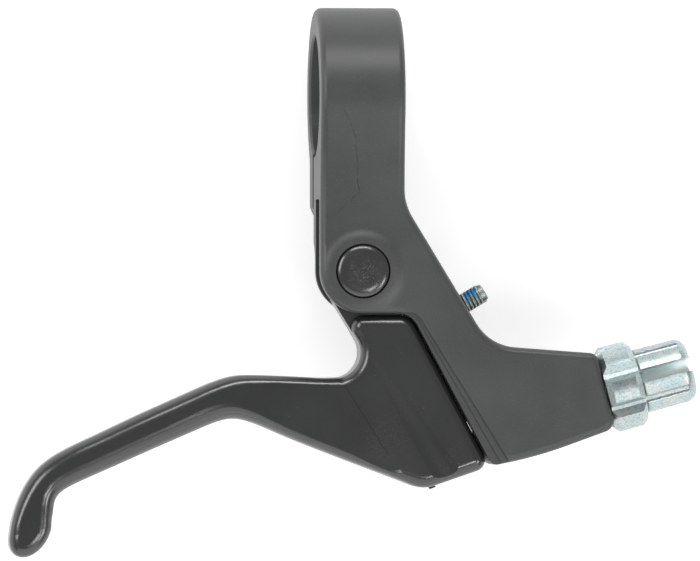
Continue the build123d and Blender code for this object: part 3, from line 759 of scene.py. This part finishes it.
@dataclass(frozen=True, kw_only=True)
class ThreadLock(TurnedFinish):
    """Zinc-plated screw with a dab of blue thread lock on one side of it, in millimetres."""

    RAGGED = 0.9
    SOFT_END = 0.25
    SOFT_SIDE = (0.1, 0.9)

    dab_colour: Triple
    dab_start: float
    dab_end: float
    dab_side: Triple

    def draw(self, surface: Surface) -> None:
        """Draw the plate and the dab.

        Args:
            surface: The material.
        """
        pen = surface.pen
        reach, along = pen.along(surface.where, metres(self.origin), self.axis)
        aside = pen.vector("DOT_PRODUCT", reach, self.dab_side)
        coat = surface.effect(Effect.COAT, Grain_Scale=2400.0, Mottle_Scale=700.0)
        rings = surface.effect(Effect.TURNING, Fineness=5000.0, **self.place())["Rings"]
        ragged = pen.times(pen.math("SUBTRACT", coat["Mottle"], 0.5), self.RAGGED * MM)
        place = pen.plus(along, ragged)
        begun = pen.ramp(place, *metres((self.dab_start, self.dab_start + self.SOFT_END)))
        ended = pen.fade(place, *metres((self.dab_end - self.SOFT_END, self.dab_end)))
        facing = pen.ramp(pen.plus(aside, ragged), *metres(self.SOFT_SIDE))
        dab = pen.times(begun, ended, facing)
        metal = surface.mottled(coat, self.colour, dark=0.7, light=1.0)
        dark, light = tint(self.dab_colour, shade=0.7), tint(self.dab_colour, shade=1.3)
        surface.set(
            Base_Color=pen.mix(dab, metal, pen.mix(coat["Grain"], dark, light)),
            Metallic=pen.math("SUBTRACT", 1.0, dab),
            Roughness=pen.weighted((self.roughness, 1.0), (rings, 0.15), (dab, 0.2)),
        )
        height = pen.plus(rings, pen.times(coat["Grain"], dab))
        surface.bump(height, distance=0.00004, strength=0.5)


@dataclass(frozen=True, kw_only=True)
class PlainStock(TurnedFinish):
    """Plain bronze, acetal or spring wire about the pivot, with fine grain and turning rings."""

    origin: Triple = PIVOT
    axis: Triple = UPRIGHT
    metallic: float = 1.0

    def draw(self, surface: Surface) -> None:
        """Draw the stock.

        Args:
            surface: The material.
        """
        pen = surface.pen
        coat = surface.effect(Effect.COAT, Grain_Scale=3600.0, Mottle_Scale=300.0)
        rings = surface.effect(Effect.TURNING, Fineness=3000.0, **self.place())["Rings"]
        surface.set(
            Base_Color=surface.mottled(coat, self.colour, dark=0.82, light=1.1),
            Metallic=self.metallic,
            Roughness=pen.weighted((self.roughness, 1.0), (rings, 0.15)),
        )
        surface.bump(pen.plus(rings, coat["Grain"]), distance=0.00002, strength=0.4)


def dress(node: str, material: bpy.types.Material) -> None:
    """Give a frame node its finish.

    Args:
        node: The node's name.
        material: The finish to show.
    """
    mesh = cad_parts[node].data
    mesh.materials.clear()
    mesh.materials.append(material)
    LOG.info("%s wears %s", node, material.name)


def place_mesh(
    name: str, mesh: bpy.types.Mesh, material: bpy.types.Material
) -> bpy.types.Object:
    """Put a mesh into the scene at the origin.

    Args:
        name: The piece's name.
        mesh: Its mesh, in place.
        material: Its finish.

    Returns:
        The new object.
    """
    mesh.name = name
    mesh.materials.clear()
    mesh.materials.append(material)
    made = bpy.data.objects.new(name, mesh)
    bpy.context.scene.collection.objects.link(made)
    return made


@dataclass(kw_only=True)
class Assembly(ABC):
    """Pieces of the frame that keep their meshes and wear finishes."""

    @abstractmethod
    def finishes(self) -> dict[str, Finish]:
        """Finish of each piece, by the name of its node."""

    def dress(self, effects: Effects) -> None:
        """Give the pieces their finishes, one material for those that share a finish.

        Args:
            effects: The shared surface effects.
        """
        made: dict[Finish, bpy.types.Material] = {}
        for node, finish in self.finishes().items():
            if finish not in made:
                made[finish] = finish.make(effects)
            dress(node, made[finish])


@dataclass(kw_only=True)
class Bracket(Assembly):
    """Cast bracket with its pivot hardware and clamp bolt."""

    coat: SatinCoat = SatinCoat(
        name="bracket_coat",
        colour=(0.048, 0.051, 0.050),
        sheen=Sheen.CASTING,
        specular=0.75,
        rub=0.12,
        mottle=0.14,
        fleck=0.45,
        grain=0.40,
        scratches=(
            Scratch(
                route=((-3.5, -2.8), (-1.2, -8.5), (-0.7, -17.9)),
                width=0.11,
                wander=1.2,
                broken=0.8,
            ),
            Scratch(route=((-0.8, -18.0), (-4.6, -21.5)), width=0.09, wander=1.0, broken=0.8),
        ),
    )
    cap: BlackSteel = BlackSteel(
        name="black_cap",
        colour=(0.024, 0.026, 0.025),
        roughness=0.16,
        origin=PIVOT,
        axis=UPRIGHT,
        scuff=0.5,
        sand=3.6,
    )
    bolt: BlackSteel = BlackSteel(
        name="black_bolt",
        colour=(0.04, 0.04, 0.04),
        roughness=0.34,
        origin=BOLT_SEAT,
        axis=UPRIGHT,
        thread=Thread(pitch=0.8, end=14.0),
        scuff=0.2,
    )
    washer: PlainStock = PlainStock(
        name="acetal_washer", colour=(0.72, 0.71, 0.67), roughness=0.45, metallic=0.0
    )

    def finishes(self) -> dict[str, Finish]:
        """Finish of each piece, by the name of its node."""
        return {
            "lever_body": self.coat,
            "pivot_axle": self.cap,
            "pivot_screw": self.cap,
            "clamp_bolt": self.bolt,
            "front_thrust_washer": self.washer,
            "rear_thrust_washer": self.washer,
        }


@dataclass(kw_only=True)
class Lever(Assembly):
    """Finger lever with the bush in its hub."""

    coat: SatinCoat = SatinCoat(
        name="lever_coat",
        colour=(0.016, 0.018, 0.017),
        sheen=Sheen.BLADE,
        specular=1.0,
        rub=0.1,
        mottle=0.14,
        fleck=0.8,
        grain=0.25,
        scratches=(Scratch(route=((-3.6, -52.9), (4.7, -66.1)), width=0.17, depth=0.0),),
        patches=(
            SpeckPatch(centre=(4.4, -63.0), radius=6.0, strength=0.30),
            SpeckPatch(centre=(17.0, -67.2), radius=4.0, strength=0.25),
        ),
    )
    bush: PlainStock = PlainStock(
        name="bronze_bush", colour=(0.52, 0.34, 0.15), roughness=0.35
    )

    def finishes(self) -> dict[str, Finish]:
        """Finish of each piece, by the name of its node."""
        return {"lever_blade": self.coat, "pivot_bush": self.bush}


@dataclass(kw_only=True)
class CableAdjuster(Assembly):
    """Plated barrel adjuster with its lock ring."""

    barrel: ZincPlate = ZincPlate(
        name="barrel_zinc",
        colour=(0.52, 0.58, 0.58),
        roughness=0.22,
        origin=BOSS_END,
        axis=ALONG_CABLE,
        thread=Thread(pitch=1.0, end=6.75),
        # Painted light brightens the plate inside the bore out to this radius
        painted_light_radius=4.6,
    )
    ring: ZincPlate = replace(barrel, name="ring_zinc", thread=None, painted_light_radius=0.0)

    def finishes(self) -> dict[str, Finish]:
        """Finish of each piece, by the name of its node."""
        return {"barrel_adjuster": self.barrel, "lock_ring": self.ring}


@dataclass(kw_only=True)
class ReturnSpring:
    """Round-wire torsion spring in the hub, sizes in millimetres."""

    finish: PlainStock = PlainStock(
        name="spring_wire", colour=(0.42, 0.42, 0.43), roughness=0.3
    )
    pivot: Pair = PIVOT[:2]
    radius: float = 5.65
    wire: float = 0.9
    low: float = 4.85
    high: float = 7.1
    turns: float = 2.25
    start_angle: float = 90.0
    foot: float = 1.95
    head: float = 8.7
    steps: int = 48
    roundness: int = 3

    def route(self) -> list[Vector]:
        """Line of the wire from the bracket's leg to the lever's leg.

        Returns:
            Points along the wire, in metres.
        """
        count = round(self.steps * self.turns)
        points = []
        for step in range(count + 1):
            share = step / count
            angle = math.radians(self.start_angle + 360.0 * self.turns * share)
            points.append(Vector((
                self.pivot[0] + self.radius * math.cos(angle),
                self.pivot[1] + self.radius * math.sin(angle),
                self.low + (self.high - self.low) * share,
            )))
        foot = Vector((points[0].x, points[0].y, self.foot))
        head = Vector((points[-1].x, points[-1].y, self.head))
        return [point * MM for point in [foot, *points, head]]

    def mesh(self) -> bpy.types.Mesh:
        """Wind the wire.

        Returns:
            The wire's smooth mesh, in metres.
        """
        points = self.route()
        line = bpy.data.curves.new("spring_line", "CURVE")
        line.dimensions = "3D"
        line.bevel_depth = self.wire / 2 * MM
        line.bevel_resolution = self.roundness
        line.use_fill_caps = True
        spline = line.splines.new("POLY")
        spline.points.add(len(points) - 1)
        for target, point in zip(spline.points, points):
            target.co = (*point, 1.0)
        drawn = bpy.data.objects.new("spring_line", line)
        mesh = bpy.data.meshes.new_from_object(drawn)
        bpy.data.objects.remove(drawn)
        for face in mesh.polygons:
            face.use_smooth = True
        return mesh

    def build(self, effects: Effects) -> bpy.types.Object:
        """Make the spring in place of the plain one, which it hides.

        Args:
            effects: The shared surface effects.

        Returns:
            The spring.
        """
        made = place_mesh("return_spring_wire", self.mesh(), self.finish.make(effects))
        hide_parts("return_spring")
        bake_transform(made)
        return made


@dataclass(kw_only=True)
class ReachScrew:
    """Threaded grub screw with a hexagon socket, sizes in millimetres."""

    SIDES = 36
    STEPS_PER_TURN = 28

    # Corners of the ridge: across it in pitches, and out of the core in crest heights
    RIDGE = ((0.44, -0.55), (0.10, 1.0), (-0.10, 1.0), (-0.44, -0.55))

    finish: ThreadLock = ThreadLock(
        name="reach_zinc",
        colour=(0.42, 0.49, 0.46),
        roughness=0.38,
        origin=REACH_END,
        axis=ALONG_REACH,
        dab_colour=(0.01, 0.22, 0.55),
        dab_start=-3.4,
        dab_end=-0.9,
        dab_side=ACROSS_REACH,
    )
    outer: Triple = REACH_END
    outward: Triple = ALONG_REACH
    length: float = 11.6
    radius: float = 2.0
    pitch: float = 0.7
    depth: float = 0.38
    key: float = 2.0
    key_depth: float = 2.2
    chamfer: float = 0.3
    top_chamfer: float = 0.12

    def thread_tree(self) -> Tree:
        """Geometry tree that winds a thread ridge up a core.

        Returns:
            The tree, with its sizes as named inputs.
        """
        tree = bpy.data.node_groups.new("thread_ridge", "GeometryNodeTree")
        inputs = {"Geometry": "NodeSocketGeometry"}
        inputs |= dict.fromkeys(("Core Radius", "Crest Height", "Pitch", "Turns"), FLOAT)
        inputs["Finish"] = "NodeSocketMaterial"
        for label, kind in inputs.items():
            tree.interface.new_socket(name=label, in_out="INPUT", socket_type=kind)
        tree.interface.new_socket(
            name="Geometry", in_out="OUTPUT", socket_type="NodeSocketGeometry"
        )
        pen = Pen(tree)
        given = pen.node("NodeGroupInput").outputs
        leave = pen.node("NodeGroupOutput")
        spiral = pen.node("GeometryNodeCurveSpiral")
        spiral.inputs["Resolution"].default_value = self.STEPS_PER_TURN
        pen.link(given["Turns"], spiral.inputs["Rotations"])
        pen.link(given["Core Radius"], spiral.inputs["Start Radius"])
        pen.link(given["Core Radius"], spiral.inputs["End Radius"])
        pen.link(pen.times(given["Turns"], given["Pitch"]), spiral.inputs["Height"])
        upright = pen.node("GeometryNodeSetCurveNormal", mode="Z_UP")
        pen.link(spiral.outputs["Curve"], upright.inputs["Curve"])
        ridge = pen.node("GeometryNodeCurvePrimitiveQuadrilateral", mode="POINTS")
        for number, (across, out) in enumerate(self.RIDGE, 1):
            point = pen.node("ShaderNodeCombineXYZ")
            offsets = pen.times(given["Crest Height"], out), pen.times(given["Pitch"], across)
            pen.fill(point, offsets)
            pen.link(point.outputs[0], ridge.inputs[f"Point {number}"])
        wound = pen.node("GeometryNodeCurveToMesh")
        wound.inputs["Fill Caps"].default_value = True
        pen.link(upright.outputs["Curve"], wound.inputs["Curve"])
        pen.link(ridge.outputs["Curve"], wound.inputs["Profile Curve"])
        joined = pen.node("GeometryNodeJoinGeometry")
        pen.link(wound.outputs["Mesh"], joined.inputs["Geometry"])
        pen.link(given["Geometry"], joined.inputs["Geometry"])
        real = pen.node("GeometryNodeRealizeInstances")
        pen.link(joined.outputs["Geometry"], real.inputs["Geometry"])
        painted = pen.node("GeometryNodeSetMaterial")
        pen.link(real.outputs["Geometry"], painted.inputs["Geometry"])
        pen.link(given["Finish"], painted.inputs["Material"])
        pen.link(painted.outputs["Geometry"], leave.inputs["Geometry"])
        return tree

    def core(self) -> bpy.types.Mesh:
        """Core of the screw along +Z, with chamfered ends and a hexagon socket at its top.

        Returns:
            The mesh, in metres.
        """
        core = self.radius - self.depth
        turns = [2 * math.pi * side / self.SIDES for side in range(self.SIDES)]
        hexagon = [
            self.key / 2 / math.cos(turn % (math.pi / 3) - math.pi / 6) for turn in turns
        ]
        outlines = [
            ([core - self.chamfer] * self.SIDES, 0.0),
            ([core] * self.SIDES, self.chamfer),
            ([core] * self.SIDES, self.length - self.chamfer),
            ([core - self.top_chamfer] * self.SIDES, self.length),
            (hexagon, self.length),
            (hexagon, self.length - self.key_depth),
        ]
        shape = bmesh.new()
        loops = [
            [
                shape.verts.new(metres((reach * math.cos(turn), reach * math.sin(turn), height)))
                for reach, turn in zip(reaches, turns)
            ]
            for reaches, height in outlines
        ]
        for lower, upper in zip(loops, loops[1:]):
            for side in range(self.SIDES):
                following = (side + 1) % self.SIDES
                shape.faces.new((lower[side], lower[following], upper[following], upper[side]))
        shape.faces.new(loops[0][::-1])
        shape.faces.new(loops[-1])
        bmesh.ops.recalc_face_normals(shape, faces=shape.faces)
        mesh = bpy.data.meshes.new("reach_core")
        shape.to_mesh(mesh)
        shape.free()
        return mesh

    def threaded(self, finish: bpy.types.Material) -> bpy.types.Mesh:
        """Wind the thread up the core.

        Args:
            finish: The screw's finish.

        Returns:
            The mesh along +Z, in metres.
        """
        carrier = bpy.data.objects.new("reach_core", self.core())
        bpy.context.scene.collection.objects.link(carrier)
        winding = carrier.modifiers.new("thread", "NODES")
        winding.node_group = self.thread_tree()
        sizes = {
            "Core Radius": (self.radius - self.depth) * MM,
            "Crest Height": self.depth * MM,
            "Pitch": self.pitch * MM,
            "Turns": (self.length - self.pitch) / self.pitch,
            "Finish": finish,
        }
        for item in winding.node_group.interface.items_tree:
            if item.in_out == "INPUT" and item.name in sizes:
                winding[item.identifier] = sizes[item.name]
        bpy.context.view_layer.update()
        graph = bpy.context.evaluated_depsgraph_get()
        mesh = bpy.data.meshes.new_from_object(carrier.evaluated_get(graph))
        bpy.data.objects.remove(carrier)
        return mesh

    def build(self, effects: Effects) -> bpy.types.Object:
        """Make the threaded screw and stand it for the plain one.

        Args:
            effects: The shared surface effects.

        Returns:
            The screw.
        """
        finish = self.finish.make(effects)
        mesh = self.threaded(finish)
        lowest = min(vertex.co.z for vertex in mesh.vertices)
        lift = Matrix.Translation((0.0, 0.0, -min(lowest, 0.0)))
        outward = Vector(self.outward)
        turn = outward.to_track_quat("Z", "Y").to_matrix().to_4x4()
        tip = Vector(self.outer) * MM - outward * self.length * MM
        mesh.transform(Matrix.Translation(tip) @ turn @ lift)
        made = place_mesh("reach_screw_threaded", mesh, finish)
        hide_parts("reach_screw")
        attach(made, Body.REACH.value)
        return made


@dataclass(frozen=True)
class Lamp:
    """One soft lamp of the studio, aimed at the part, lengths in metres and power in watts."""

    name: str
    place: Triple
    width: float
    height: float
    power: float

    def build(self, target: Vector) -> None:
        """Hang the lamp.

        Args:
            target: The point that it faces.
        """
        light = bpy.data.lights.new(self.name, "AREA")
        light.shape = "RECTANGLE"
        light.size = self.width
        light.size_y = self.height
        light.energy = self.power
        made = bpy.data.objects.new(self.name, light)
        made.location = self.place
        made.rotation_euler = (target - Vector(self.place)).to_track_quat("-Z", "Y").to_euler()
        bpy.context.scene.collection.objects.link(made)


@dataclass(kw_only=True)
class Studio:
    """White table, soft lamps and the camera of the product picture, lengths in metres."""

    SENSOR_WIDTH = 36.0
    CLIP = (0.01, 10.0)

    target: Triple = (-0.0018, -0.03413, 0.00725)
    distance: float = 2.5
    view_width: float = 0.1289
    yaw: float = 5.08
    floor_height: float = -0.0165
    floor_half: float = 2.0
    floor_tone: float = 0.82
    floor_glow: float = 0.5
    lamps: Sequence[Lamp] = (
        Lamp("back_box", (0.0, 0.517, 0.438), 0.50, 0.16, 1.9),
        Lamp("left_box", (-0.506, 0.149, 0.457), 0.40, 0.24, 1.5),
        Lamp("right_box", (0.443, -0.270, 0.494), 0.22, 0.16, 0.75),
        Lamp("front_card", (0.0, -0.590, 0.320), 1.20, 0.60, 2.2),
        Lamp("high_right", (0.108, -0.181, 0.410), 0.07, 0.07, 0.14),
    )
    sky: float = 0.35
    zenith: float = 0.34

    def camera(self) -> None:
        """Set the camera above the part, a little to its left."""
        lens = bpy.data.cameras.new("product_camera")
        lens.sensor_fit = "HORIZONTAL"
        lens.sensor_width = self.SENSOR_WIDTH
        lens.lens = self.SENSOR_WIDTH * self.distance / self.view_width
        lens.clip_start, lens.clip_end = self.CLIP
        made = bpy.data.objects.new("product_camera", lens)
        lean = math.radians(self.yaw)
        toward = Vector((-math.sin(lean), 0.0, math.cos(lean)))
        made.location = Vector(self.target) + toward * self.distance
        made.rotation_euler = Euler((0.0, -lean, 0.0))
        bpy.context.scene.collection.objects.link(made)
        bpy.context.scene.camera = made

    def seen(self, pen: Pen) -> Socket:
        """Mask of the rays that show the white background.

        Args:
            pen: The tree to draw in.

        Returns:
            The mask's socket.
        """
        path = pen.node("ShaderNodeLightPath").outputs
        shown = pen.math("MAXIMUM", path["Is Camera Ray"], path["Is Glossy Ray"])
        return pen.math("MAXIMUM", shown, path["Is Transmission Ray"])

    def world(self) -> None:
        """Light the part from all round and keep the background white."""
        world = bpy.data.worlds.new("studio")
        bpy.context.scene.world = world
        world.use_nodes = True
        pen = Pen(world.node_tree)
        world.node_tree.nodes.clear()
        plain = pen.node("ShaderNodeBackground")
        plain.inputs["Strength"].default_value = self.sky
        white = pen.node("ShaderNodeBackground")
        white.inputs["Color"].default_value = grey(1.0)
        heading = pen.node("ShaderNodeSeparateXYZ")
        pen.link(pen.node("ShaderNodeTexCoord").outputs["Generated"], heading.inputs[0])
        shade = pen.ramp(heading.outputs["Z"], low=0.02, high=0.35, start=1.0, end=self.zenith)
        direct = pen.node("ShaderNodeLightPath").outputs["Is Camera Ray"]
        pen.link(pen.math("MAXIMUM", shade, direct), white.inputs["Strength"])
        mixed = pen.node("ShaderNodeMixShader")
        pen.fill(mixed, (self.seen(pen), plain.outputs[0], white.outputs[0]))
        leave = pen.node("ShaderNodeOutputWorld")
        pen.link(mixed.outputs[0], leave.inputs["Surface"])

    def table(self) -> None:
        """Lay the pale table under the part."""
        shape = bmesh.new()
        bmesh.ops.create_grid(shape, x_segments=1, y_segments=1, size=self.floor_half)
        bmesh.ops.translate(shape, verts=shape.verts, vec=(0.0, 0.0, self.floor_height))
        mesh = bpy.data.meshes.new("table")
        shape.to_mesh(mesh)
        shape.free()
        material = bpy.data.materials.new("table_white")
        material.use_nodes = True
        pen = Pen(material.node_tree)
        material.node_tree.nodes.clear()
        matt = pen.node("ShaderNodeBsdfDiffuse")
        matt.inputs["Color"].default_value = grey(self.floor_tone)
        glow = pen.node("ShaderNodeEmission")
        pen.link(pen.times(self.seen(pen), self.floor_glow), glow.inputs["Strength"])
        both = pen.node("ShaderNodeAddShader")
        pen.fill(both, (matt.outputs[0], glow.outputs[0]))
        leave = pen.node("ShaderNodeOutputMaterial")
        pen.link(both.outputs[0], leave.inputs["Surface"])
        made = place_mesh("table", mesh, material)

    def build(self) -> None:
        """Set up camera, world, table and lamps."""
        bpy.context.scene.view_settings.view_transform = "Standard"
        self.camera()
        self.world()
        self.table()
        for lamp in self.lamps:
            lamp.build(Vector(self.target))
            LOG.info("%s lights the part", lamp.name)


def main() -> None:
    """Dress the frame, add the wound spring and the threaded screw, and set up the studio."""
    logging.basicConfig(level=logging.INFO, format="%(message)s")
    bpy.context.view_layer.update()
    effects = Effects()
    for assembly in (Bracket(), Lever(), CableAdjuster()):
        assembly.dress(effects)
    spring = ReturnSpring().build(effects)
    LOG.info("%s winds between bracket and lever", spring.name)
    screw = ReachScrew().build(effects)
    LOG.info("%s stands for the plain screw", screw.name)
    Studio().build()
    LOG.info("sizes written")


if __name__ == "__main__":
    main()
